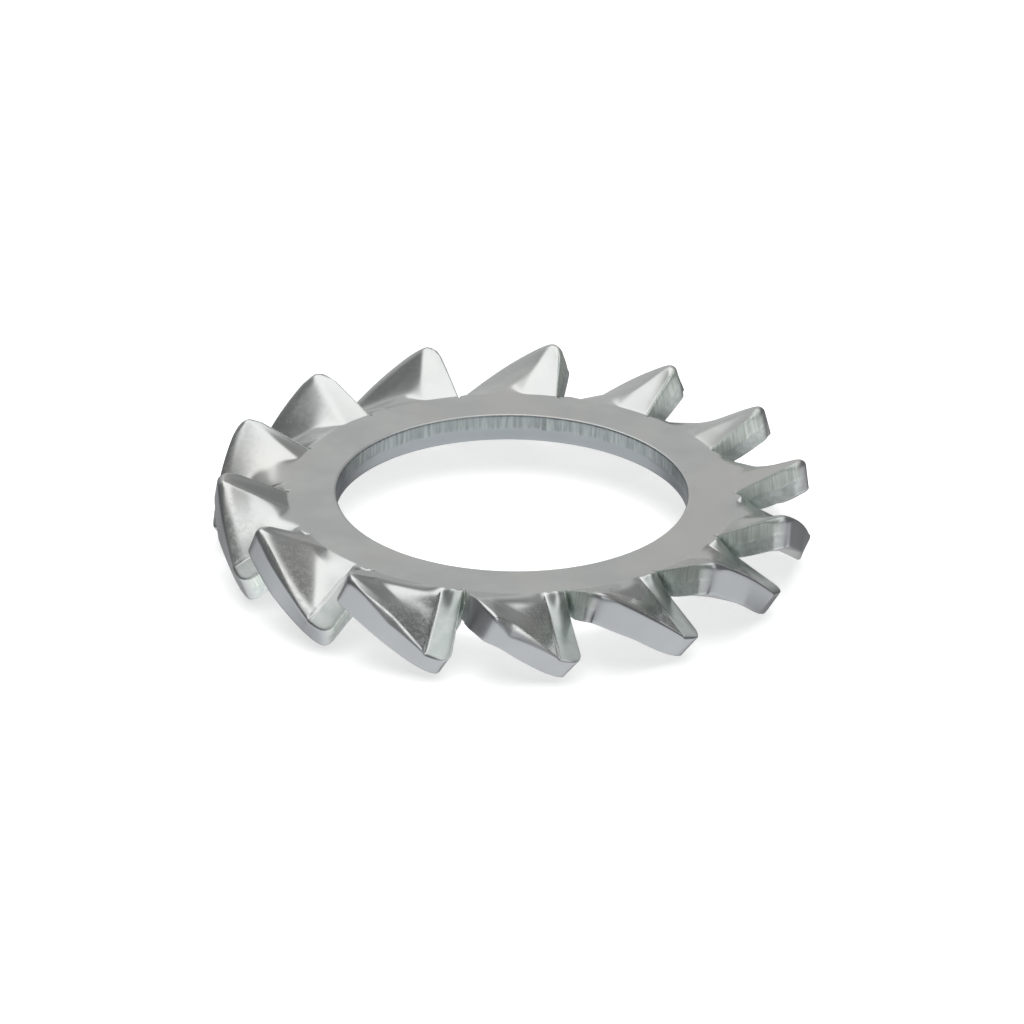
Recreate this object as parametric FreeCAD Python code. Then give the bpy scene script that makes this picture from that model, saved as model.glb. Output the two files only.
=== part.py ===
import FreeCAD, Part
import math
import os

# ---------------------------------------------------------------------------
# Serrated (fan) lock washer with outward teeth.  Millimetres, +Z up.
# The bore axis is the Z axis and z = 0 is the plane that the lowered tooth
# tips stand on.  One blank of sheet steel: a flat ring with teeth that are
# notched out of its rim and twisted, so that every tooth has one edge raised
# above the ring and the other edge lowered below it.
# ---------------------------------------------------------------------------

# --- driving dimensions ----------------------------------------------------
BORE_R = 4.20          # pierced hole, radius
SHEET = 0.68           # sheet thickness
TEETH = 14             # teeth around the rim
ROOT_R = 5.36          # radius at which the notches end and the teeth begin
LAND_DEG = 0.55        # width of a notch at its root, as an angle
TIP_R_RAISED = 7.04    # plan radius of the raised corner
TIP_R_MIDDLE = 7.13    # plan radius of the middle of a tooth tip
TIP_R_LOWERED = 7.18   # plan radius of the lowered corner
RAISED_DEG = 1.95      # raised corner, angle from the start of the tooth root
LOWERED_DEG = 25.85   # lowered corner, angle from the start of the tooth root
RAISE = 1.00           # scale of the heights above the ring's top face
DROP = 1.00            # scale of the depths below the ring's top face
THICK_IN = 0.50        # share of tooth length over which the sheet turns
LEAN = 0.50            # how much the tip wall leans out under the raised corner
ROLL = 0.06            # rounding of the bore's upper edge, from piercing
BREAK = 0.05           # break-out bevel of the bore's lower edge
CORNER = 0.16          # how far the rounded tooth corners fall back
CORNER_SHARE = 0.13    # share of the tooth's width that a rounded corner takes
FIRST_DEG = 78.52      # start of the first tooth root, angle from +X

# Twist of a tooth: control heights, in mm from the ring's top face, of a cubic
# surface over the tooth.  Rows go across it from the raised to the lowered
# edge, columns along it from root to tip, at the knots below (shares of its
# width and length).
KNOTS_ACROSS = [0, 0.07, 0.14, 0.22, 0.30, 0.38, 0.46, 0.54, 0.62, 0.70, 0.76,
                0.81, 0.86, 0.93, 1.0]
KNOTS_ALONG = [0, 0.06, 0.14, 0.26, 0.42, 0.62, 0.82, 1.0]
HEIGHTS = [
    (0.000, 0.006, 0.041, 0.118, 0.217, 0.315, 0.431, 0.558, 0.626, 0.651),
    (0.000, 0.014, 0.050, 0.124, 0.227, 0.348, 0.472, 0.602, 0.661, 0.684),
    (0.000, 0.020, 0.058, 0.141, 0.250, 0.364, 0.455, 0.565, 0.625, 0.656),
    (0.000, 0.020, 0.067, 0.150, 0.235, 0.310, 0.366, 0.436, 0.496, 0.523),
    (0.000, 0.019, 0.066, 0.122, 0.170, 0.225, 0.282, 0.315, 0.357, 0.376),
    (0.000, 0.007, 0.038, 0.068, 0.099, 0.127, 0.181, 0.205, 0.222, 0.238),
    (0.000, -0.005, 0.008, 0.029, 0.049, 0.071, 0.054, 0.051, 0.071, 0.076),
    (0.000, 0.000, -0.024, -0.016, 0.003, -0.002, -0.071, -0.111, -0.071, -0.070),
    (0.000, 0.007, -0.031, -0.063, -0.066, -0.117, -0.186, -0.252, -0.255, -0.257),
    (0.000, 0.010, -0.022, -0.101, -0.170, -0.235, -0.300, -0.388, -0.445, -0.458),
    (0.000, 0.005, -0.028, -0.122, -0.244, -0.335, -0.416, -0.531, -0.609, -0.632),
    (0.000, 0.001, -0.036, -0.146, -0.296, -0.410, -0.522, -0.672, -0.761, -0.792),
    (0.000, 0.002, -0.044, -0.164, -0.328, -0.476, -0.633, -0.816, -0.911, -0.953),
    (0.000, 0.003, -0.051, -0.175, -0.342, -0.513, -0.692, -0.880, -0.989, -1.040),
    (0.000, 0.007, -0.055, -0.182, -0.341, -0.519, -0.711, -0.907, -1.032, -1.086),
    (0.000, 0.012, -0.055, -0.179, -0.334, -0.534, -0.748, -0.952, -1.080, -1.141),
    (0.000, 0.013, -0.053, -0.170, -0.324, -0.535, -0.760, -0.959, -1.074, -1.132),
]

ACROSS = 26            # control points across a tooth
ALONG = 13             # control points along a tooth

PITCH = 360.0 / TEETH


# --- helpers ---------------------------------------------------------------
def weights(k, x):
    """Cubic B-spline weights at x for clamped knots k."""
    t = [k[0]] * 3 + list(k) + [k[-1]] * 3
    x = max(k[0], min(k[-1] - 1e-9, x))
    w = [1.0 if t[i] <= x < t[i + 1] else 0.0 for i in range(len(t) - 1)]
    for d in (1, 2, 3):
        nxt = []
        for i in range(len(t) - 1 - d):
            a = t[i + d] - t[i]
            b = t[i + d + 1] - t[i + 1]
            value = 0.0
            if a > 0:
                value += (x - t[i]) / a * w[i]
            if b > 0:
                value += (t[i + d + 1] - x) / b * w[i + 1]
            nxt.append(value)
        w = nxt
    return w


def smooth(t):
    t = max(0.0, min(1.0, t))
    return t * t * (3 - 2 * t)


def top_point(u, v):
    """Upper face of the first tooth; u across the tooth from the raised to
    the lowered edge, v along it from root to tip.  z is measured from the
    ring's top face."""
    root = PITCH - LAND_DEG
    a0 = root * u
    a1 = RAISED_DEG + (LOWERED_DEG - RAISED_DEG) * u
    a = math.radians(FIRST_DEG + a0 + (a1 - a0) * v)
    r1 = (TIP_R_RAISED * (1 - u) * (1 - 2 * u) + TIP_R_LOWERED * u * (2 * u - 1)
          + TIP_R_MIDDLE * 4 * u * (1 - u))
    near = min(u, 1.0 - u) / CORNER_SHARE
    if near < 1.0:
        r1 -= CORNER * (1.0 - near) ** 2
    r = ROOT_R + (r1 - ROOT_R) * v
    wu = weights(KNOTS_ACROSS, u)
    wv = weights(KNOTS_ALONG, v)
    h = 0.0
    for i, row in enumerate(HEIGHTS):
        if wu[i] > 0.0:
            h += wu[i] * sum(row[j] * wv[j] for j in range(len(row)))
    h *= RAISE if h > 0 else DROP
    return FreeCAD.Vector(r * math.cos(a), r * math.sin(a), h)


def normal(u, v):
    e = 1e-3
    ua, ub = max(0.0, u - e), min(1.0, u + e)
    va, vb = max(0.0, v - e), min(1.0, v + e)
    du = top_point(ub, v) - top_point(ua, v)
    dv = top_point(u, vb) - top_point(u, va)
    n = dv.cross(du)
    n.normalize()
    return n if n.z > 0 else n * -1.0


def low_point(u, v):
    """Lower face: the sheet's thickness below the upper one, square to it
    away from the root."""
    w = smooth(v / THICK_IN)
    n = normal(u, v)
    p = top_point(u, v)
    out = FreeCAD.Vector(p.x, p.y, 0)
    out.normalize()
    inward = n.dot(out)
    if inward < 0:
        n -= out * (inward * (1.0 - LEAN))
    n = n * w + FreeCAD.Vector(0, 0, 1.0 - w)
    n.normalize()
    return p - n * SHEET


def knots(n):
    """Evenly spaced clamped cubic knots for n control points."""
    spans = n - 3
    values = [i / float(spans) for i in range(spans + 1)]
    mults = [4] + [1] * (spans - 1) + [4]
    flat = [0.0] * 3 + values + [1.0] * 3
    centres = [(flat[i + 1] + flat[i + 2] + flat[i + 3]) / 3.0 for i in range(n)]
    return values, mults, centres


def surface(fn):
    """Shape-keeping cubic surface: control points taken on the form itself."""
    ku, mu, cu = knots(ACROSS)
    kv, mv, cv = knots(ALONG)
    poles = [[fn(u, v) for v in cv] for u in cu]
    s = Part.BSplineSurface()
    s.buildFromPolesMultsKnots(poles, mu, mv, ku, kv, False, False, 3, 3)
    return s


# --- one tooth: five faces -------------------------------------------------
top = surface(top_point)
low = surface(low_point)


def iso(s, which, end):
    a, b, c, d = s.bounds()
    if which == "u":
        return s.uIso(a if end == 0 else b).toShape()
    return s.vIso(c if end == 0 else d).toShape()


raised_wall = Part.makeRuledSurface(iso(top, "u", 0), iso(low, "u", 0))
lowered_wall = Part.makeRuledSurface(iso(top, "u", 1), iso(low, "u", 1))
tip_wall = Part.makeRuledSurface(iso(top, "v", 1), iso(low, "v", 1))
tooth = [top.toShape(), low.toShape(), raised_wall, lowered_wall, tip_wall]
root_top = iso(top, "v", 0)
root_low = iso(low, "v", 0)

# --- all the teeth, the lands between them and the ring's two faces --------
AXIS = FreeCAD.Vector(0, 0, 1)
ORIGIN = FreeCAD.Vector(0, 0, 0)


def turned(shape, k):
    s = shape.copy()
    s.rotate(ORIGIN, AXIS, k * PITCH)
    return s


def root_end(edge, end):
    return edge.valueAt(edge.FirstParameter if end == 0 else edge.LastParameter)


faces = []
edges_top = []
edges_low = []
for k in range(TEETH):
    for f in tooth:
        faces.append(turned(f, k))
    et, el = turned(root_top, k), turned(root_low, k)
    nt, nl = turned(root_top, (k + 1) % TEETH), turned(root_low, (k + 1) % TEETH)
    a = Part.makeLine(root_end(et, 1), root_end(nt, 0))
    b = Part.makeLine(root_end(el, 1), root_end(nl, 0))
    faces.append(Part.makeRuledSurface(a, b))
    edges_top += [et, a]
    edges_low += [el, b]


def ring_face(edges, hole_r, z):
    outer = Part.Wire(Part.__sortEdges__(edges))
    disc = Part.Face(outer)
    cut = Part.makeCylinder(hole_r, 1.0, FreeCAD.Vector(0, 0, z - 0.5), AXIS)
    return disc.cut(cut).Faces[0]


faces.append(ring_face(edges_top, BORE_R + ROLL, 0.0))
faces.append(ring_face(edges_low, BORE_R + BREAK, -SHEET))

# --- bore: rounded upper edge, straight wall, bevelled lower edge -----------
c = 0.5 * math.sqrt(2.0)
p0 = FreeCAD.Vector(BORE_R + ROLL, 0, 0)
pm = FreeCAD.Vector(BORE_R + ROLL * (1 - c), 0, -ROLL * (1 - c))
p1 = FreeCAD.Vector(BORE_R, 0, -ROLL)
p2 = FreeCAD.Vector(BORE_R, 0, -SHEET + 2 * BREAK)
p3 = FreeCAD.Vector(BORE_R + BREAK, 0, -SHEET)
for e in (Part.Arc(p0, pm, p1).toShape(), Part.makeLine(p1, p2), Part.makeLine(p2, p3)):
    faces.append(e.revolve(ORIGIN, AXIS, 360.0).Faces[0])

shell = Part.makeShell(faces)
shell.sewShape(2e-4)
solid = Part.Solid(shell.Shells[0] if shell.Shells else shell)
if solid.Volume < 0:
    solid.reverse()

washer = solid
print("faces", len(washer.Faces), "valid", washer.isValid(), "closed", washer.isClosed(), "volume", washer.Volume)
low_z = washer.optimalBoundingBox(False).ZMin
washer.translate(FreeCAD.Vector(0, 0, -low_z))
bb = washer.optimalBoundingBox(False)
print("box", bb.XMin, bb.XMax, bb.YMin, bb.YMax, bb.ZMin, bb.ZMax)

os.makedirs("parts", exist_ok=True)
washer.exportStep("parts/washer.step")
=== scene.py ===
import math

import bmesh
import bpy
import numpy as np
from mathutils import Matrix, Vector


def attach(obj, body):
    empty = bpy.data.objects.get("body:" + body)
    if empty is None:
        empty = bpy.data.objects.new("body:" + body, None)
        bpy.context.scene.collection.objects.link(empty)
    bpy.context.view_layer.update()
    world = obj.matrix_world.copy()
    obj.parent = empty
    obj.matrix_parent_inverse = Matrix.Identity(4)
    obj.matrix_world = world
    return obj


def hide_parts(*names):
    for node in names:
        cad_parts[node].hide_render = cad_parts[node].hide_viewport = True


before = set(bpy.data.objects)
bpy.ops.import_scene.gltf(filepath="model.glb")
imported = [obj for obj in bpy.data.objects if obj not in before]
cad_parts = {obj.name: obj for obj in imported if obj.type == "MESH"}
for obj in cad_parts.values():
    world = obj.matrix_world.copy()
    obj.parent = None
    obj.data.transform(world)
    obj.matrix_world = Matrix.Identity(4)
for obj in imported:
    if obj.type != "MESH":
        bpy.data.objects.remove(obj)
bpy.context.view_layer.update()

MM = 0.001

# ---------------------------------------------------------------------------
# One serrated lock washer: a flat ring whose rim is notched into fourteen
# twisted teeth.  Lengths below are millimetres; the mesh is written in metres.
# ---------------------------------------------------------------------------
BORE_R = 4.20
SHEET = 0.68
TEETH = 14
ROOT_R = 5.36
LAND_DEG = 0.55
FIRST_DEG = 78.52
TIP_R_RAISED = 7.04
TIP_R_MIDDLE = 7.13
TIP_R_LOWERED = 7.18
RAISED_DEG = 1.95
LOWERED_DEG = 25.85
THICK_IN = 0.50
LEAN = 0.20
CORNER = 0.07
CORNER_SHARE = 0.14
RING_TOP = 1.700      # height of the ring's upper face over the seat plane

PITCH = 360.0 / TEETH
WIDE = 2.50           # mean width of a tooth
LONG = 1.73           # length of a tooth

# --- camera ----------------------------------------------------------------
ELEV = math.radians(26.224)
DIST = 330.0
PX_PER_MM = 41.817
SEEN_AT = (512.04, 491.85)      # where the bore's centre shows in the frame
ROLL = math.radians(0.7175)


def make_camera():
    cam = bpy.data.cameras.new("camera")
    ob = bpy.data.objects.new("camera", cam)
    bpy.context.scene.collection.objects.link(ob)
    f_px = PX_PER_MM * DIST
    cam.sensor_width = 36.0
    cam.sensor_fit = "HORIZONTAL"
    cam.lens = f_px / 1024.0 * 36.0
    cam.clip_start = 0.01
    cam.clip_end = 50.0
    target = Vector((0, 0, RING_TOP * MM))
    back = Vector((0, -math.cos(ELEV), math.sin(ELEV)))
    loc = target + back * DIST * MM
    right = Vector((1, 0, 0))
    up = back.cross(right)
    m = Matrix((right, up, back)).transposed().to_4x4()
    m = m @ Matrix.Rotation(ROLL, 4, "Z")
    pitch = math.atan((512.0 - SEEN_AT[1]) / f_px)
    yaw = math.atan((SEEN_AT[0] - 512.0) / f_px)
    m = m @ Matrix.Rotation(-pitch, 4, "X") @ Matrix.Rotation(yaw, 4, "Y")
    m.translation = loc
    ob.matrix_world = m
    bpy.context.scene.camera = ob


make_camera()


# --- small tools -----------------------------------------------------------
def smooth(t):
    t = np.clip(t, 0.0, 1.0)
    return t * t * (3 - 2 * t)


def monotone(xs, ys, x):
    """Smooth curve through a table without overshoot."""
    xs = np.asarray(xs, float)
    ys = np.asarray(ys, float)
    h = np.diff(xs)
    d = np.diff(ys) / h
    m = np.zeros(len(xs))
    m[0], m[-1] = d[0], d[-1]
    for i in range(1, len(xs) - 1):
        if d[i - 1] * d[i] > 0:
            w1 = 2 * h[i] + h[i - 1]
            w2 = h[i] + 2 * h[i - 1]
            m[i] = (w1 + w2) / (w1 / d[i - 1] + w2 / d[i])
    x = np.clip(x, xs[0], xs[-1])
    i = np.clip(np.searchsorted(xs, x, side="right") - 1, 0, len(xs) - 2)
    t = (x - xs[i]) / h[i]
    return ((1 + 2 * t) * (1 - t) ** 2 * ys[i] + t * (1 - t) ** 2 * h[i] * m[i]
            + t * t * (3 - 2 * t) * ys[i + 1] + t * t * (t - 1) * h[i] * m[i + 1])


def hashed(i, j, seed):
    n = (i.astype(np.int64) * 374761393 + j.astype(np.int64) * 668265263
         + seed * 974711) & 0xFFFFFFFF
    n = ((n ^ (n >> 13)) * 1274126177) & 0xFFFFFFFF
    n = n ^ (n >> 16)
    return (n & 0xFFFF) / 32767.5 - 1.0


def noise(x, y, seed=0):
    """Smooth value noise in -1..1."""
    x, y = np.broadcast_arrays(np.asarray(x, float), np.asarray(y, float))
    i, j = np.floor(x), np.floor(y)
    fx, fy = smooth(x - i), smooth(y - j)
    a = hashed(i, j, seed)
    b = hashed(i + 1, j, seed)
    c = hashed(i, j + 1, seed)
    d = hashed(i + 1, j + 1, seed)
    return (a * (1 - fx) + b * fx) * (1 - fy) + (c * (1 - fx) + d * fx) * fy


# --- form of a tooth -------------------------------------------------------
# Teeth counted clockwise from the one at the back: share of the rise, share of
# the drop, shift of the lowered corner in degrees, width and fall of the rolled
# edge at the tip, how flat that edge is, where along the tip it lies; CREASE
# says how much of a tooth is three flat facets rather than one twisted face.
EACH = {
    1: (1.00, 1.00, 0.0, 0.07, 0.05, 0.0, 0.5), 2: (0.99, 1.00, 0.0, 0.07, 0.05, 0.0, 0.5),
    3: (0.98, 0.99, 0.0, 0.07, 0.05, 0.0, 0.5), 4: (1.00, 1.00, 0.0, 0.07, 0.05, 0.0, 0.5),
    5: (1.00, 1.00, 0.0, 0.07, 0.05, 0.0, 0.5), 6: (1.02, 0.99, 0.0, 0.07, 0.05, 0.0, 0.5),
    7: (0.95, 0.99, 0.0, 0.08, 0.06, 0.3, 0.45), 8: (0.74, 1.00, 0.0, 0.215, 0.24, 1.0, 0.43),
    9: (0.97, 1.00, 0.0, 0.13, 0.12, 0.9, 0.50), 10: (1.02, 1.00, 0.0, 0.14, 0.07, 0.8, 0.28),
    11: (1.00, 1.00, 0.0, 0.15, 0.06, 0.7, 0.22), 12: (0.99, 1.00, 0.0, 0.08, 0.05, 0.2, 0.3),
    13: (1.00, 1.00, 0.0, 0.07, 0.05, 0.0, 0.5), 14: (1.00, 1.00, 0.0, 0.07, 0.05, 0.0, 0.5),
}
CREASE = {10: 0.95, 11: 0.5, 12: 0.5, 13: 0.8, 14: 0.75, 1: 0.5, 7: 0.1, 8: 0.0, 9: 0.0}
# Raised corners that are cut back in plan: how far, and over what share.
CUT = {8: (0.95, 0.28), 9: (0.22, 0.12)}
# Lowered corners that are rounder than the rest, mm taken off at the corner.
ROUNDED = {1: 0.09, 4: 0.10, 5: 0.10, 6: 0.12, 7: 0.17, 8: 0.18, 9: 0.13, 10: 0.10}
# The curve of the lower edge along the tip.
LOW_U = [0.0, 0.05, 0.10, 0.20, 0.35, 0.42, 0.50, 0.57, 0.65, 0.74, 0.82, 0.90, 1.0]
LOW_Z = [0.66, 0.645, 0.595, 0.41, 0.13, 0.0, -0.16, -0.33, -0.52, -0.73, -0.90, -1.03, -1.10]
RISE = 0.446          # slope of the raised part, mm per mm
DROP = 0.93           # drop at the tip where the lowered flat begins
TWIST = 0.62          # slope across the tooth next to the fold
FOLD_ROOT, FOLD_TIP = 0.36, 0.07    # where the fold of the raised part runs
FOLDS = {11: (0.38, 0.20), 12: (0.26, 0.02)}


def soft(x, k):
    """x where it is positive, nothing where it isn't, rounded over k."""
    return 0.5 * (x + np.sqrt(x * x + k * k))


def number(m):
    """Tooth number, clockwise from the back, of the m-th counterclockwise."""
    return (TEETH - m) % TEETH + 1


def plan(m, u, v, trim=True):
    root = PITCH - LAND_DEG
    a0 = root * u
    low = LOWERED_DEG + EACH[number(m)][2]
    a1 = RAISED_DEG + (low - RAISED_DEG) * u
    a = np.radians(FIRST_DEG + m * PITCH + a0 + (a1 - a0) * v)
    r1 = (TIP_R_RAISED * (1 - u) * (1 - 2 * u) + TIP_R_LOWERED * u * (2 * u - 1)
          + TIP_R_MIDDLE * 4 * u * (1 - u))
    near = np.minimum(u, 1.0 - u) / CORNER_SHARE
    cut = np.where(np.asarray(u) < 0.5, 1.6 * CORNER, ROUNDED.get(number(m), CORNER))
    r1 = r1 - cut * np.where(near < 1.0, (1.0 - near) ** 2, 0.0)
    if trim and number(m) in CUT:
        much, share = CUT[number(m)]
        r1 = r1 - much * np.clip(1.0 - np.asarray(u) / share, 0.0, 1.0)
    r = ROOT_R + (r1 - ROOT_R) * v
    return r, a


def base_height(m, u, v, plain=False, trim=True):
    """Height over the ring's upper face; plain leaves out the finer creases."""
    up, down = EACH[number(m)][:2]
    v = np.maximum(v, 0.0)
    if trim and number(m) in CUT:
        much, share = CUT[number(m)]
        up = up * (1.0 - much / 1.7 * np.clip(1.0 - u / share, 0.0, 1.0))
    if plain:
        vs = np.sqrt(v * v + 0.0016) - 0.04
        z = monotone(LOW_U, LOW_Z, u) * vs ** 1.03
        return z * (down + (up - down) * smooth((z + 0.2) / 0.4))
    wide = 2.354 + 0.606 * v
    root, tip = FOLDS.get(number(m), (FOLD_ROOT, FOLD_TIP))
    fold = root + (tip - root) * v
    t = np.maximum((v - 0.78) / 0.20, 0.0)
    lead = 0.016
    vs = np.sqrt(v * v + lead * lead) - lead
    rise = RISE * LONG * (vs - 0.20 * np.where(t < 1, t ** 3 - t ** 4 / 2, t - 0.5)) * up
    drop = DROP * vs ** 1.08 * down
    across = soft((u - fold) * wide, 0.06)
    facet = rise - TWIST * across - 0.05 * across ** 2
    grown = smooth(v / 0.35)
    low = -drop - 0.12 * (u - 0.8) * wide * grown
    k = 0.10 * np.clip(v * 4, 0.01, 1)
    facet = 0.5 * (facet + low + np.sqrt((facet - low) ** 2 + k * k))
    early = 1.0 + (1.9 if number(m) in (8, 9) else 1.3) * (1 - smooth(v / 0.6))
    share = np.minimum(soft(u - fold, 0.03) / (0.8 - fold), 1.0 + 0.3 * soft(u - 0.8, 0.01))
    share = np.where(share < 1.0, share ** early, share)
    turned = (rise * (1 - share) - drop * share + 0.10 * v * np.sin(np.pi * np.clip(share, 0, 1))
              - 0.12 * soft(u - 0.8, 0.02) * wide * grown)
    crease = CREASE.get(number(m), 0.4)
    z = crease * facet + (1 - crease) * turned
    return z


STRIP_U = 0.80        # where the flat along the lowered edge begins
STRIP_LEAD = 0.05     # rounding at its root, mm
STRIP_SLOPE = 0.28    # its fall across the tooth, mm per mm
KNOB = {5: 0.10, 6: 0.10, 7: 0.09, 8: 0.10, 9: 0.09, 10: 0.06}   # height of the pushed up metal, mm


def height(m, u, v):
    """With the flat that the die pressed along the lowered edge."""
    z = base_height(m, u, v)
    far = v * LONG
    tip = base_height(m, np.full_like(u, STRIP_U), np.ones_like(u)) - 0.02
    run = (np.sqrt(far * far + STRIP_LEAD ** 2) - STRIP_LEAD) / (LONG - STRIP_LEAD)
    strip = tip * np.where(far > 0, run, 0.0) - (u - STRIP_U) * WIDE * STRIP_SLOPE * smooth(far / 0.50)
    part = smooth((u - (STRIP_U - 0.022)) / 0.034)
    z = z * (1 - part) + strip * part
    groove = np.exp(-((u - (STRIP_U - 0.012)) / 0.010) ** 2)
    z = z - 0.012 * groove * smooth(far / 0.25)
    # metal that the punch pushed up in the foot of the notch
    size = KNOB.get(number(m), 0.03)
    d = far / 0.16
    return z + size * np.exp(-((u - 0.90) / 0.07) ** 2) * np.where(far > 0, d * np.exp(1 - d) * smooth(far / 0.10), 0.0)


def base_point(m, u, v, trim=True):
    r, a = plan(m, u, v, trim)
    return np.stack([r * np.cos(a), r * np.sin(a), base_height(m, u, v, True, trim)], -1)


def low_point(m, u, v):
    e = 2e-3
    ua, ub = np.clip(u - e, 0, 1), np.clip(u + e, 0, 1)
    ua = np.minimum(ua, 1 - 2 * e)
    ub = np.maximum(ub, 2 * e)
    va, vb = np.clip(v - e, 0, 1), np.clip(v + e, 0, 1)
    vb = np.maximum(vb, 2 * e)
    va = np.minimum(va, 1 - 2 * e)
    uc, vc = np.clip(u, 0, 1), np.clip(v, 0, 1)
    du = base_point(m, ub, vc, False) - base_point(m, ua, vc, False)
    dv = base_point(m, uc, vb, False) - base_point(m, uc, va, False)
    n = np.cross(dv, du)
    n /= np.linalg.norm(n, axis=-1, keepdims=True)
    n *= np.sign(n[..., 2:3])
    w = smooth(v / THICK_IN)[..., None]
    p = base_point(m, u, v)
    out = p * np.array([1, 1, 0])
    out /= np.linalg.norm(out, axis=-1, keepdims=True)
    inward = (n * out).sum(-1, keepdims=True)
    n = n - out * np.where(inward < 0, inward * (1 - LEAN), 0.0)
    n = n * w + np.array([0, 0, 1.0]) * (1 - w)
    n /= np.linalg.norm(n, axis=-1, keepdims=True)
    return p - n * SHEET


def solid_point(m, u, v, depth):
    """Point of a tooth; depth is measured down from the upper face."""
    r, a = plan(m, u, v)
    top = np.stack([r * np.cos(a), r * np.sin(a), height(m, u, v)], -1)
    low = low_point(m, u, v)
    return top + (low - top) * (depth / SHEET)[..., None]


# --- mesh ------------------------------------------------------------------
EDGE = 0.22            # width of the band that holds an edge's rounding
EU, EV = EDGE / WIDE, EDGE / LONG
NU, NK, NW, NC, NL = 43, 6, 41, 7, 2
NV = NK + NW
ROUND_LOW = 0.035
FLANK_ROLL = 0.075     # rolled upper edge of a flank, inward
FLANK_FALL = 0.045     # and down


def crowded(n, a, b, at, gain):
    """n stations from a to b, closer together around the places in at."""
    t = np.linspace(a, b, 2001)
    dens = np.ones_like(t)
    for c, w in at:
        dens += gain * np.exp(-((t - c) / w) ** 2)
    s = np.concatenate([[0], np.cumsum((dens[1:] + dens[:-1]) / 2)])
    return np.interp(np.linspace(0, s[-1], n), s, t)


U = crowded(NU, EU, 1 - EU, [(STRIP_U - 0.008, 0.03), (0.02, 0.05), (0.98, 0.04)], 2.4)
VOUT = crowded(NW, 0.0, 1 - EV, [(0.0, 0.06), (0.10, 0.05)], 1.4)
# stations from the ring side of the root line to the tooth: the first NK lie
# on the ring and draw together towards the edge, so the root line stays a line
LEAD = 1.0 - np.arange(NK) / NK


def stations(d):
    """Shares of the tooth's length at inward distance d from the edge."""
    return np.concatenate([-d / LONG * LEAD, VOUT])


V = stations(EDGE)


def profile(roll, fall, flat=0.0):
    """Rows (inward distance, depth) from the band's inner edge on the upper
    face, round the upper edge, down the wall, to the inner edge below."""
    rows = [(EDGE, 0.0)]
    for i in (1, 2):
        rows.append((EDGE + (roll - EDGE) * i / 3, 0.0))
    for i in range(0, 6):
        q = math.pi / 2 * i / 5
        bend = 1 - math.cos(q)
        rows.append((roll * (1 - math.sin(q)), fall * (bend + (math.sin(q) - bend) * flat)))
    a, b = fall, SHEET - ROUND_LOW
    for i in range(1, 8):
        rows.append((0.0, a + (b - a) * i / 8))
    for i in range(0, 4):
        q = math.pi / 2 * i / 3
        rows.append((ROUND_LOW * (1 - math.cos(q)), SHEET - ROUND_LOW + ROUND_LOW * math.sin(q)))
    rows.append((EDGE, SHEET))
    return np.array(rows)


ROWS = len(profile(0.05, 0.05))
FIRST_WALL = 5         # rows from here on belong to the wall

verts = []
along = []             # distance along the rim or the bore, mm
deep = []              # depth under the upper face, mm
kind = []              # 0 upper face, 1 sheared flank, 2 tip wall, 3 bore, 4 lower face
out_v = []             # share of the tooth's length, 0 on the ring
strip_of = []          # 1 on the flat along the lowered edge
faces = []
count = 0


def add(points, s, c, k, v, f=0.0):
    global count
    points = np.asarray(points).reshape(-1, 3)
    n = len(points)
    verts.append(points)
    for store, x in ((along, s), (deep, c), (kind, k), (out_v, v), (strip_of, f)):
        store.append(np.broadcast_to(np.asarray(x, float).ravel(), (n,)))
    ids = np.arange(count, count + n)
    count += n
    return ids


def face(ring):
    seen = []
    for i in ring:
        if int(i) not in seen:
            seen.append(int(i))
    if len(seen) > 2:
        faces.append(tuple(seen))


def quads(g, flip=False):
    """Faces of an index grid; equal corners give a triangle or nothing."""
    a, b, c, d = g[:-1, :-1], g[1:, :-1], g[1:, 1:], g[:-1, 1:]
    q = np.stack([a, b, c, d], -1).reshape(-1, 4)
    if flip:
        q = q[:, ::-1]
    for f in q:
        face(f)


def coarse(g):
    """Faces of an index grid at half its density, keeping its outer points."""
    nu, nv = g.shape
    for i in range(0, nu - 1, 2):
        for j in range(0, nv - 1, 2):
            ring = [g[i, j]]
            if j == 0:
                ring.append(g[i + 1, 0])
            ring.append(g[i + 2, j])
            if i + 2 == nu - 1:
                ring.append(g[nu - 1, j + 1])
            ring.append(g[i + 2, j + 2])
            if j + 2 == nv - 1:
                ring.append(g[i + 1, nv - 1])
            ring.append(g[i, j + 2])
            if i == 0:
                ring.append(g[0, j + 1])
            face(ring[::-1])


def wall_relief(kinds, s, c, m, v):
    """Outward relief of the walls: shear marks, then the torn lower zone."""
    shear = np.clip(2.0 - kinds, 0, 1) * (kinds > 0.5)
    clean = 0.30 + 0.05 * noise(s / 0.35, m * 7.0 + 0.5, 3)
    torn = smooth((c - clean) / 0.05)
    marks = 0.003 * noise(s / 0.10, c / 0.9 + m * 3.0, 5) * (1 - torn)
    rough = (0.0035 * noise(s / 0.13, c / 0.22, 11) + 0.003 * noise(s / 0.07, c / 0.1, 12)) * torn
    taper = -0.010 * smooth((c - clean) / 0.35)
    out = shear * (marks + rough + taper)
    tip = np.clip(kinds - 1.0, 0, 1)
    out = out + tip * 0.003 * noise(s / 0.6, c / 0.5 + m, 21)
    return out * smooth(c / 0.08) * smooth((SHEET - c) / 0.08) * smooth(v / 0.10)


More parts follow.
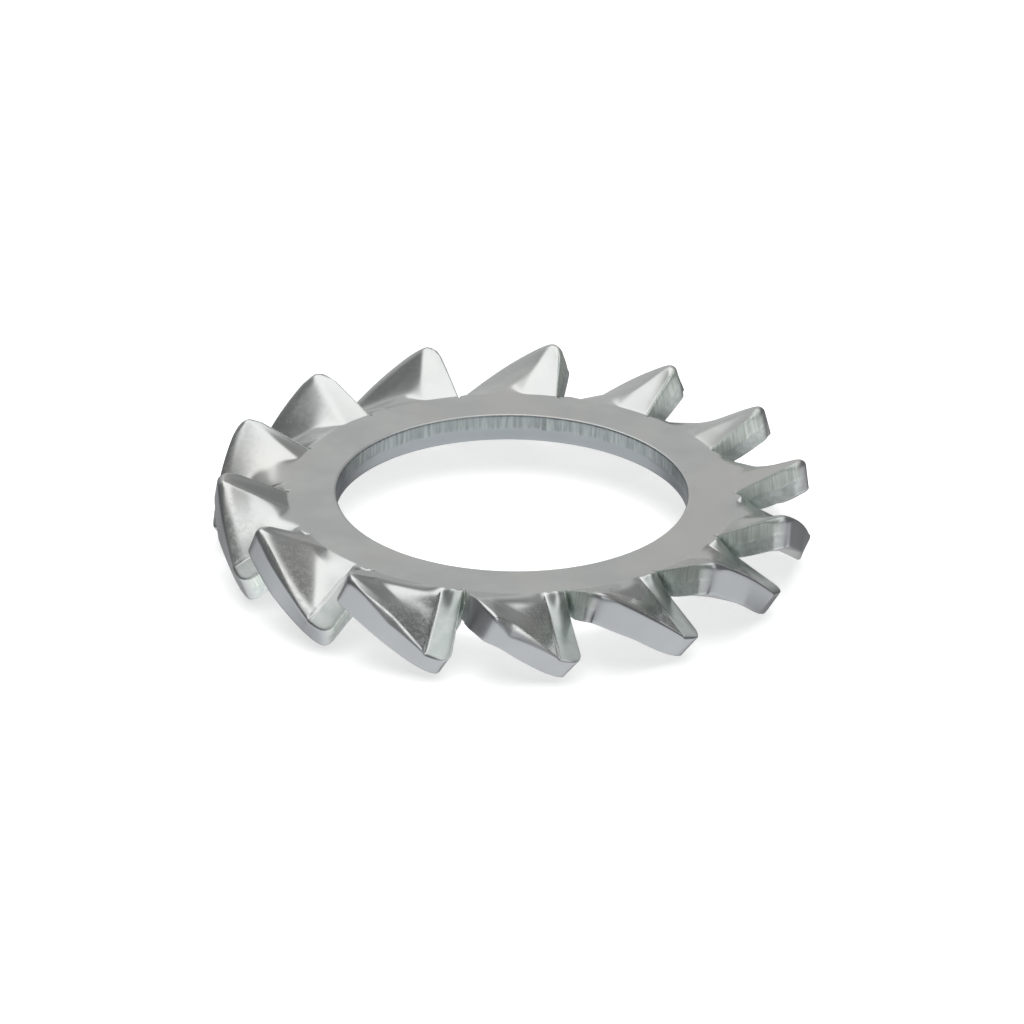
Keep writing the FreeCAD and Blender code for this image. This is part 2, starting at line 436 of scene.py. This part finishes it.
top_ids, low_ids, band_ids = [], [], []
for m in range(TEETH):
    uu, vv = np.meshgrid(U, V, indexing="ij")
    zero = np.zeros_like(uu)
    pt = solid_point(m, uu, vv, zero)
    pb = solid_point(m, uu, vv, zero + SHEET)
    flat_part = smooth((uu - STRIP_U) / 0.02) * smooth((vv - 0.02) / 0.08)
    gt = add(pt, vv * LONG, 0.0, 0, vv, flat_part).reshape(NU, NV)
    low_seen = np.zeros((NU, NV), bool)
    low_seen[::2, ::2] = True
    low_seen[0] = low_seen[-1] = True
    low_seen[:, 0] = low_seen[:, -1] = True
    gb = np.full((NU, NV), -1)
    gb[low_seen] = add(pb[low_seen], vv[low_seen] * LONG, SHEET, 4, vv[low_seen])
    top_ids.append(gt)
    low_ids.append(gb)
    quads(gt)
    coarse(gb)

    # band round the tooth: raised flank, corner, tip, corner, lowered flank
    tip_roll, tip_fall, tip_flat, tip_at = EACH[number(m)][3:]
    path = [("r", j) for j in range(NV)]
    path += [("a", math.pi / 2 * (i + 1) / (NC + 1)) for i in range(NC)]
    path += [("t", i) for i in range(NU)]
    path += [("b", math.pi / 2 * (1 - (i + 1) / (NC + 1))) for i in range(NC)]
    path += [("l", j) for j in range(NV - 1, -1, -1)]
    shape = (len(path), ROWS)
    pu, pv, pc, pk, ps = (np.zeros(shape) for _ in range(5))
    for i, (w, x) in enumerate(path):
        roll, fall, flat = FLANK_ROLL, FLANK_FALL, 0.0
        blunt = 0.0
        if w == "r":
            blunt = float(smooth((V[x] - 0.72) / 0.15))
        elif w == "a":
            blunt = 1.0
        elif w == "t" and U[x] < 0.5:
            blunt = 1 - float(smooth((U[x] - EU) / 0.12))
        if w in "lb":
            roll = FLANK_ROLL * 0.7
        if w == "t":
            near = float(smooth(min(U[x] - EU, 1 - EU - U[x]) / 0.10))
            share = math.exp(-((U[x] - tip_at) / 0.20) ** 2)
            if number(m) in (8, 9):
                share = min(max((U[x] - 0.26) / (tip_at - 0.26), 0.0), 1.0) * min(max((0.76 - U[x]) / (0.76 - tip_at), 0.0), 1.0)
            wide_roll = 0.07 + (tip_roll - 0.07) * share
            wide_fall = 0.05 + (tip_fall - 0.05) * share
            side = FLANK_ROLL if U[x] < 0.5 else FLANK_ROLL * 0.7
            roll = side + (wide_roll - side) * near
            fall = FLANK_FALL + (wide_fall - FLANK_FALL) * near
            flat = tip_flat * share * near
        roll = roll + (0.17 - roll) * blunt
        fall = fall + (0.13 - fall) * blunt
        rows = profile(roll, fall, flat)
        d, c = rows[:, 0], rows[:, 1]
        pc[i] = c
        if w in "rl":
            vs = np.array([stations(q)[x] for q in d])
            pv[i] = vs
            pk[i] = 1
            if w == "r":
                pu[i] = d / WIDE
                ps[i] = max(V[x], 0.0) * LONG + 10 * m
            else:
                pu[i] = 1 - d / WIDE
                ps[i] = -max(V[x], 0.0) * LONG + 10 * m + 6.5
        elif w == "t":
            pu[i] = U[x]
            pv[i] = 1 - d / LONG
            pk[i] = 2
            ps[i] = U[x] * WIDE + 10 * m + 1.9
        elif w == "a":
            pu[i] = EU - (EDGE - d) / WIDE * math.cos(x)
            pv[i] = 1 - EV + (EDGE - d) / LONG * math.sin(x)
            pk[i] = 1 + float(smooth(x / (math.pi / 2)))
            ps[i] = 10 * m + 1.60 + 0.3 * x / (math.pi / 2) * 0.9
        else:
            pu[i] = 1 - EU + (EDGE - d) / WIDE * math.cos(x)
            pv[i] = 1 - EV + (EDGE - d) / LONG * math.sin(x)
            pk[i] = 1 + float(smooth(x / (math.pi / 2)))
            ps[i] = 10 * m + 4.9 - 0.3 * x / (math.pi / 2) * 0.9
    rel = wall_relief(pk, ps, pc, m, pv)
    for i, (w, x) in enumerate(path):
        if w == "r":
            pu[i] -= rel[i] / WIDE
        elif w == "l":
            pu[i] += rel[i] / WIDE
        elif w == "t":
            pv[i] += rel[i] / LONG
        elif w == "a":
            pu[i] -= rel[i] / WIDE * math.cos(x)
            pv[i] += rel[i] / LONG * math.sin(x)
        else:
            pu[i] += rel[i] / WIDE * math.cos(x)
            pv[i] += rel[i] / LONG * math.sin(x)
    pts = solid_point(m, pu, pv, pc)
    pkm = pk.copy()
    pkm[:, :FIRST_WALL] = 0
    inner = slice(1, -1)
    flat_band = smooth((pu - STRIP_U) / 0.02) * smooth((pv - 0.02) / 0.08) * (pkm < 0.5)
    ids = add(pts[:, inner], ps[:, inner], pc[:, inner], pkm[:, inner], pv[:, inner],
              flat_band[:, inner]).reshape(len(path), ROWS - 2)
    it, ib = [], []
    for w, x in path:
        cu = {"r": 0, "a": 0, "b": -1, "l": -1}.get(w)
        if w == "t":
            it.append(gt[x, -1]); ib.append(gb[x, -1])
        elif w in "rl":
            it.append(gt[cu, x]); ib.append(gb[cu, x])
        else:
            it.append(gt[cu, -1]); ib.append(gb[cu, -1])
    # on the wall itself the stations before the root line are one point
    flat = np.arange(ROWS)[1:-1]
    rows = profile(FLANK_ROLL, FLANK_FALL)
    on_edge = np.nonzero(rows[1:-1, 0] < 1e-9)[0]
    for r in on_edge:
        ids[:NK, r] = ids[NK, r]
        ids[len(path) - NK:, r] = ids[len(path) - NK - 1, r]
    band = np.concatenate([np.array(it)[:, None], ids, np.array(ib)[:, None]], 1)
    band_ids.append(band)

# --- lands between the teeth -------------------------------------------------
land_ids = []
rows = profile(FLANK_ROLL, FLANK_FALL)
d, c = rows[:, 0], rows[:, 1]
rows_l = profile(FLANK_ROLL * 0.7, FLANK_FALL)
for m in range(TEETH):
    nxt = (m + 1) % TEETH
    ra, aa = plan(m, 1 - rows_l[:, 0] / WIDE, -rows_l[:, 0] / LONG)
    rb, ab = plan(nxt, d / WIDE, -d / LONG)
    ab = ab + (2 * math.pi if m == TEETH - 1 else 0)
    block = []
    for i in range(NL):
        t = (i + 1) / (NL + 1)
        a = aa + (ab - aa) * t
        r = ra + (rb - ra) * t - 0.02 * math.sin(math.pi * t) * (1 - d / EDGE)
        block.append(np.stack([r * np.cos(a), r * np.sin(a), -c], -1))
    block = np.array(block)
    kk = np.ones(ROWS)
    kk[:FIRST_WALL] = 0
    kk[-1] = 4
    ids = add(block, np.repeat(10 * m + 6.55 + 0.03 * np.arange(NL), ROWS), np.tile(c, NL),
              np.tile(kk, NL), 0.0).reshape(NL, ROWS)
    land_ids.append(ids)

for m in range(TEETH):
    nxt = (m + 1) % TEETH
    quads(np.concatenate([band_ids[m], land_ids[m], band_ids[nxt][:1]], 0))

# --- ring: upper face, bore, lower face --------------------------------------
cols_top = np.concatenate([np.concatenate([top_ids[m][:, 0], land_ids[m][:, 0]]) for m in range(TEETH)])
cols_low = np.concatenate([np.concatenate([low_ids[m][:, 0], land_ids[m][:, -1]]) for m in range(TEETH)])
so_far = np.concatenate(verts)
ang = np.unwrap(np.arctan2(so_far[cols_top][:, 1], so_far[cols_top][:, 0]))
N = len(ang)

BORE_ROLL = 0.055
BORE_BREAK = 0.05
ring_rows = [(r, 0.0, 0) for r in (5.00, 4.86, 4.72, 4.58, 4.44, 4.33)]
for i in range(0, 5):
    q = math.pi / 2 * i / 4
    ring_rows.append((BORE_R + BORE_ROLL * (1 - math.sin(q)), BORE_ROLL * (1 - math.cos(q)), 3 if i > 1 else 0))
for i in range(1, 11):
    ring_rows.append((BORE_R, BORE_ROLL + (SHEET - BORE_BREAK - BORE_ROLL) * i / 11, 3))
ring_rows += [(BORE_R, SHEET - BORE_BREAK, 3), (BORE_R + 0.02, SHEET - 0.012, 3), (BORE_R + BORE_BREAK, SHEET, 4)]
ring_rows += [(r, SHEET, 4) for r in (4.40, 4.60, 4.85)]

grid = [cols_top]
for r, c, k in ring_rows:
    s = ang * BORE_R
    rr = np.full(N, r)
    if k == 3:
        # upper part sheared, lower part torn and a hair wider
        split = 0.33 + 0.045 * noise(s / 0.8, 0.5, 31) + 0.03 * noise(s / 0.25, 2.5, 32)
        torn = smooth((c - split) / 0.04)
        rel = 0.012 * torn + 0.0030 * noise(s / 0.10, c / 0.6, 33) * (1 - torn)
        rel += 0.003 * noise(s / 0.5, c / 0.5, 34) * torn
        rr = rr + rel * smooth(c / 0.08)
    pts = np.stack([rr * np.cos(ang), rr * np.sin(ang), np.full(N, -c)], -1)
    grid.append(add(pts, s, c, k, -1.0))
grid.append(cols_low)
grid = np.array(grid)
grid = np.concatenate([grid, grid[:, :1]], 1)
quads(grid)

co = np.concatenate(verts)
# very slight unevenness of the rolled sheet
lift = 0.0016 * noise(co[:, 0] / 0.9 + 40, co[:, 1] / 0.9 + 40, 51) + 0.0006 * noise(co[:, 0] / 0.35 + 9, co[:, 1] / 0.35 + 9, 52)
co[:, 2] += lift + RING_TOP
co[:, 2] = np.maximum(co[:, 2], 0.002)

# points that no face uses are left out
used = np.zeros(count, bool)
for f in faces:
    used[list(f)] = True
renum = np.cumsum(used) - 1
co = co[used]
faces = [tuple(int(renum[i]) for i in f) for f in faces]
along, deep, kind, out_v = (np.concatenate(x)[used] for x in (along, deep, kind, out_v))

mesh = bpy.data.meshes.new("lock_washer")
mesh.from_pydata((co * MM).tolist(), [], faces)
mesh.validate()
mesh.update()
washer = bpy.data.objects.new("lock_washer", mesh)
bpy.context.scene.collection.objects.link(washer)
bm = bmesh.new()
bm.from_mesh(mesh)
bmesh.ops.recalc_face_normals(bm, faces=bm.faces)
open_edges = sum(1 for e in bm.edges if len(e.link_faces) != 2)
tris = sum(len(f.verts) - 2 for f in bm.faces)
vol = bm.calc_volume(signed=True)
bm.to_mesh(mesh)
bm.free()
mesh.shade_smooth()
print("washer mesh: tris", tris, "edges not shared by two faces", open_edges, "volume mm3", vol * 1e9)

normal_z = np.array([v.normal[2] for v in mesh.vertices])
steep = smooth((1 - np.abs(normal_z) - 0.05) / 0.25) * smooth(out_v / 0.12) * (kind < 0.5)
strip_at = np.concatenate(strip_of)[used]
for name, data in (("along", along), ("strip", strip_at), ("deep", deep), ("steep", steep),
                   ("flank", np.clip(1 - np.abs(kind - 1), 0, 1)),
                   ("tip", np.clip(1 - np.abs(kind - 2), 0, 1)),
                   ("bore", (np.abs(kind - 3) < 0.5)), ("under", kind > 3.5)):
    at = mesh.attributes.new(name, "FLOAT", "POINT")
    at.data.foreach_set("value", np.asarray(data, np.float32))

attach(washer, "root")
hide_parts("washer")

# --- materials ---------------------------------------------------------------
class Net:
    """Short names for the shader nodes used below."""

    def __init__(self, tree):
        self.tree = tree

    def node(self, kind, **values):
        n = self.tree.nodes.new(kind)
        for k, v in values.items():
            setattr(n, k, v)
        return n

    def put(self, socket, x):
        if isinstance(x, (int, float, tuple)):
            socket.default_value = x
        else:
            self.tree.links.new(x, socket)

    def math(self, op, a, b=0.0, clamp=False):
        n = self.node("ShaderNodeMath", operation=op, use_clamp=clamp)
        self.put(n.inputs[0], a)
        self.put(n.inputs[1], b)
        return n.outputs[0]

    def attr(self, name):
        return self.node("ShaderNodeAttribute", attribute_name=name).outputs["Fac"]

    def ramp(self, x, lo, hi, a=0.0, b=1.0):
        n = self.node("ShaderNodeMapRange", interpolation_type="SMOOTHSTEP")
        self.put(n.inputs["Value"], x)
        n.inputs["From Min"].default_value = lo
        n.inputs["From Max"].default_value = hi
        n.inputs["To Min"].default_value = a
        n.inputs["To Max"].default_value = b
        return n.outputs["Result"]

    def mix(self, f, a, b):
        n = self.node("ShaderNodeMix", data_type="RGBA")
        self.put(n.inputs["Factor"], f)
        self.put(n.inputs[6], a)
        self.put(n.inputs[7], b)
        return n.outputs[2]

    def level(self, f, a, b):
        n = self.node("ShaderNodeMix", data_type="FLOAT")
        self.put(n.inputs["Factor"], f)
        self.put(n.inputs[2], a)
        self.put(n.inputs[3], b)
        return n.outputs[0]

    def noise(self, vec, scale, detail=2.0, rough=0.5, distortion=0.0):
        n = self.node("ShaderNodeTexNoise")
        self.put(n.inputs["Vector"], vec)
        n.inputs["Scale"].default_value = scale
        n.inputs["Detail"].default_value = detail
        n.inputs["Roughness"].default_value = rough
        n.inputs["Distortion"].default_value = distortion
        return n.outputs["Fac"]

    def vec(self, x, y, z=0.0):
        n = self.node("ShaderNodeCombineXYZ")
        for i, q in enumerate((x, y, z)):
            self.put(n.inputs[i], q)
        return n.outputs[0]

    def bump(self, height, distance, normal=None):
        n = self.node("ShaderNodeBump")
        n.inputs["Strength"].default_value = 1.0
        n.inputs["Distance"].default_value = distance
        self.put(n.inputs["Height"], height)
        if normal is not None:
            self.tree.links.new(normal, n.inputs["Normal"])
        return n.outputs[0]


mat = bpy.data.materials.new("bright_zinc")
mat.use_nodes = True
mat.node_tree.nodes.clear()
g = Net(mat.node_tree)
output = g.node("ShaderNodeOutputMaterial")
bsdf = g.node("ShaderNodeBsdfPrincipled")
mat.node_tree.links.new(bsdf.outputs[0], output.inputs[0])
bsdf.inputs["Metallic"].default_value = 1.0
mesh.materials.append(mat)

where = g.node("ShaderNodeTexCoord").outputs["Object"]
a_along, a_deep = g.attr("along"), g.attr("deep")
a_steep, a_flank, a_tip = g.attr("steep"), g.attr("flank"), g.attr("tip")
a_bore, a_under, a_strip = g.attr("bore"), g.attr("under"), g.attr("strip")

cloud = g.noise(where, 700.0, 3.0, 0.55)            # 1.4 mm cloudiness
speck = g.noise(where, 8500.0, 2.0, 0.6)            # 0.12 mm frosting
grit = g.noise(where, 24000.0, 2.0, 0.6)            # 0.04 mm grain
stain = g.noise(where, 330.0, 2.0, 0.5, 0.6)        # 3 mm stains
streak = g.noise(g.vec(g.math("MULTIPLY", a_along, 10.5), g.math("MULTIPLY", a_deep, 0.9)), 1.0, 3.0, 0.6)
fine = g.noise(g.vec(g.math("MULTIPLY", a_along, 30.0), g.math("MULTIPLY", a_deep, 2.5)), 1.0, 2.0, 0.6)
torn = g.ramp(g.math("ADD", a_deep, g.math("MULTIPLY", g.noise(g.vec(g.math("MULTIPLY", a_along, 2.2), 0.0), 1.0, 3.0, 0.6), 0.22)), 0.42, 0.50)

# colour: bright zinc, a little warmer in places; the tip wall and the bore are painted darker, painted shade for the
# dim reflections they show
face_a = g.mix(g.ramp(cloud, 0.35, 0.65), (0.675, 0.688, 0.686, 1), (0.745, 0.748, 0.738, 1))
face_b = g.mix(g.ramp(stain, 0.54, 0.70, 0.0, 0.75), face_a, (0.745, 0.722, 0.695, 1))
frost = g.math("MULTIPLY", a_steep, g.ramp(speck, 0.40, 0.66))
face_c = g.mix(g.math("MULTIPLY", frost, 0.34), face_b, (0.60, 0.645, 0.63, 1))
face_c = g.mix(g.math("MULTIPLY", a_strip, g.ramp(g.noise(where, 2600.0, 2.0, 0.6), 0.35, 0.65, 0.55, 1.0)), face_c, (0.53, 0.57, 0.555, 1))
flank_c = g.mix(g.ramp(streak, 0.35, 0.66), (0.66, 0.72, 0.68, 1), (0.86, 0.90, 0.86, 1))
flank_c = g.mix(torn, flank_c, g.mix(g.ramp(speck, 0.35, 0.7), (0.64, 0.69, 0.68, 1), (0.78, 0.82, 0.81, 1)))
# painted shade: the outer tip wall is coloured far darker than the zinc to stand in for its dim reflection; the cloudy
# mottling is the zinc's own
tip_painted_shade = g.mix(g.ramp(cloud, 0.30, 0.70), (0.430, 0.443, 0.462, 1), (0.480, 0.492, 0.508, 1))
# painted shade: the bore is coloured far darker than the zinc to stand in for the shade inside the hole, and its upper
# sheared band darker still as a painted dark reflection; the shear streaks and the torn lower band are real
bore_up_painted_shade = g.mix(g.ramp(streak, 0.33, 0.68), (0.27, 0.295, 0.30, 1), (0.42, 0.45, 0.455, 1))
bore_low_painted_shade = g.mix(g.ramp(cloud, 0.3, 0.7), (0.345, 0.365, 0.39, 1), (0.39, 0.41, 0.435, 1))
bore_painted_shade = g.mix(torn, bore_up_painted_shade, bore_low_painted_shade)
under_c = g.mix(g.ramp(cloud, 0.35, 0.65), (0.60, 0.61, 0.61, 1), (0.66, 0.665, 0.66, 1))
colour = g.mix(a_flank, face_c, flank_c)
colour = g.mix(a_tip, colour, tip_painted_shade)
colour = g.mix(a_bore, colour, bore_painted_shade)
colour = g.mix(a_under, colour, under_c)
g.put(bsdf.inputs["Base Color"], colour)

# roughness
rough = g.ramp(cloud, 0.3, 0.7, 0.20, 0.25)
rough = g.math("ADD", rough, g.math("MULTIPLY", frost, 0.12))
rough = g.level(a_strip, rough, 0.33)
rough = g.level(a_flank, rough, g.ramp(streak, 0.3, 0.7, 0.54, 0.44))
rough = g.level(a_tip, rough, g.ramp(cloud, 0.3, 0.7, 0.36, 0.42))
rough = g.level(a_bore, rough, g.ramp(cloud, 0.3, 0.7, 0.38, 0.46))
g.put(bsdf.inputs["Roughness"], rough)

# relief, in metres
wall = g.math("MAXIMUM", a_flank, a_bore)
normal = g.bump(g.math("MULTIPLY", g.math("MULTIPLY", g.math("ADD", streak, g.math("MULTIPLY", fine, 0.35)), wall),
                       g.math("SUBTRACT", 1.0, torn)), 0.000012)
normal = g.bump(g.math("MULTIPLY", speck, g.math("ADD", g.math("MULTIPLY", a_steep, 0.9), 0.10)), 0.0000009, normal)
normal = g.bump(grit, 0.0000003, normal)
g.put(bsdf.inputs["Normal"], normal)

# --- floor -------------------------------------------------------------------
fm = bpy.data.meshes.new("floor")
S = 6.0
fm.from_pydata([(-S, -S, 0), (S, -S, 0), (S, S, 0), (-S, S, 0)], [], [(0, 1, 2, 3)])
floor = bpy.data.objects.new("floor", fm)
bpy.context.scene.collection.objects.link(floor)
fmat = bpy.data.materials.new("pale_floor")
fmat.use_nodes = True
fb = fmat.node_tree.nodes["Principled BSDF"]
fb.inputs["Base Color"].default_value = (0.80, 0.80, 0.80, 1)
fb.inputs["Emission Color"].default_value = (1, 1, 1, 1)
fb.inputs["Emission Strength"].default_value = 0.52
fb.inputs["Roughness"].default_value = 0.9
fb.inputs["Specular IOR Level"].default_value = 0.0
fm.materials.append(fmat)
floor.visible_glossy = False

# --- light -------------------------------------------------------------------
# A studio seen by direction: a soft light overhead and to the back, a mid-grey
# sweep behind it, darker sides and front.
world = bpy.data.worlds.new("studio")
bpy.context.scene.world = world
world.use_nodes = True
world.node_tree.nodes.clear()
w = Net(world.node_tree)
wo = w.node("ShaderNodeOutputWorld")
bg = w.node("ShaderNodeBackground")
world.node_tree.links.new(bg.outputs[0], wo.inputs[0])
sep = w.node("ShaderNodeSeparateXYZ")
w.put(sep.inputs[0], w.node("ShaderNodeTexCoord").outputs["Generated"])
X, Y, Z = sep.outputs
zsafe = w.math("MAXIMUM", Z, 0.02)
px = w.math("DIVIDE", X, zsafe)
py = w.math("DIVIDE", Y, zsafe)
left = w.math("ADD", px, w.math("MULTIPLY", py, 0.25))
right = w.math("SUBTRACT", px, w.math("MULTIPLY", py, 0.40))
front = w.math("ADD", py, w.math("MULTIPLY", px, 0.25))
back = w.math("ADD", w.math("ADD", py, w.ramp(px, -0.30, 0.0, 0.0, 0.20)), w.math("MULTIPLY", w.math("MAXIMUM", px, 0.0), 0.20))
box = w.math("MULTIPLY", w.ramp(left, -0.46, -0.30), w.ramp(right, 0.38, 0.56, 1.0, 0.0))
box = w.math("MULTIPLY", box, w.math("MULTIPLY", w.ramp(front, -0.17, 0.05), w.ramp(back, 1.04, 1.20, 1.0, 0.0)))
box = w.math("MULTIPLY", box, w.ramp(Z, 0.0, 0.1))
hy = w.math("MAXIMUM", Y, 0.001)
side = w.math("DIVIDE", X, hy)
azi = w.math("ABSOLUTE", side)
sweep = w.math("MULTIPLY", w.ramp(azi, 0.50, 1.1, 1.0, 0.0), w.ramp(Y, 0.0, 0.1))
dim = w.math("MULTIPLY", w.ramp(side, 0.10, 0.28), w.ramp(Z, 0.30, 0.46, 1.0, 0.0))
sweep = w.math("MULTIPLY", sweep, w.math("SUBTRACT", 1.0, w.math("MULTIPLY", dim, 0.85)))
near = w.math("MULTIPLY", w.ramp(Y, -0.15, -0.55), w.ramp(Z, 0.25, 0.50, 1.0, 0.0))
gap = w.math("MULTIPLY", w.ramp(px, 0.06, 0.22), w.math("MULTIPLY", w.ramp(py, 0.95, 1.10), w.ramp(py, 1.7, 2.2, 1.0, 0.0)))
sweep = w.math("MULTIPLY", sweep, w.math("SUBTRACT", 1.0, w.math("MULTIPLY", gap, 0.75)))
val = w.math("ADD", 0.17, w.math("MULTIPLY", sweep, 0.36))
val = w.math("ADD", val, w.math("MULTIPLY", near, 0.50))
card = w.math("MULTIPLY", w.math("MULTIPLY", w.ramp(px, 0.15, 0.35), w.ramp(px, 0.95, 1.2, 1.0, 0.0)),
              w.math("MULTIPLY", w.ramp(py, -1.15, -0.90), w.ramp(py, -0.12, 0.02, 1.0, 0.0)))
card = w.math("MULTIPLY", card, w.ramp(Z, 0.2, 0.4))
val = w.level(card, val, 1.25)
below = w.math("MULTIPLY", w.ramp(Z, -0.02, -0.12), w.ramp(Y, 0.20, 0.60, 1.0, 0.0))
val = w.level(below, val, 1.10)
val = w.level(box, val, 1.22)
w.put(bg.inputs["Strength"], val)
bg.inputs["Color"].default_value = (0.985, 1.0, 0.995, 1)

sun = bpy.data.lights.new("floor_fill", "SUN")
sun.energy = 1.6
sun.angle = math.radians(60)
so = bpy.data.objects.new("floor_fill", sun)
so.rotation_euler = (math.radians(10), 0, 0)
bpy.context.scene.collection.objects.link(so)
so.visible_glossy = False

bpy.context.scene.view_settings.view_transform = "Standard"
bpy.context.scene.view_settings.look = "None"
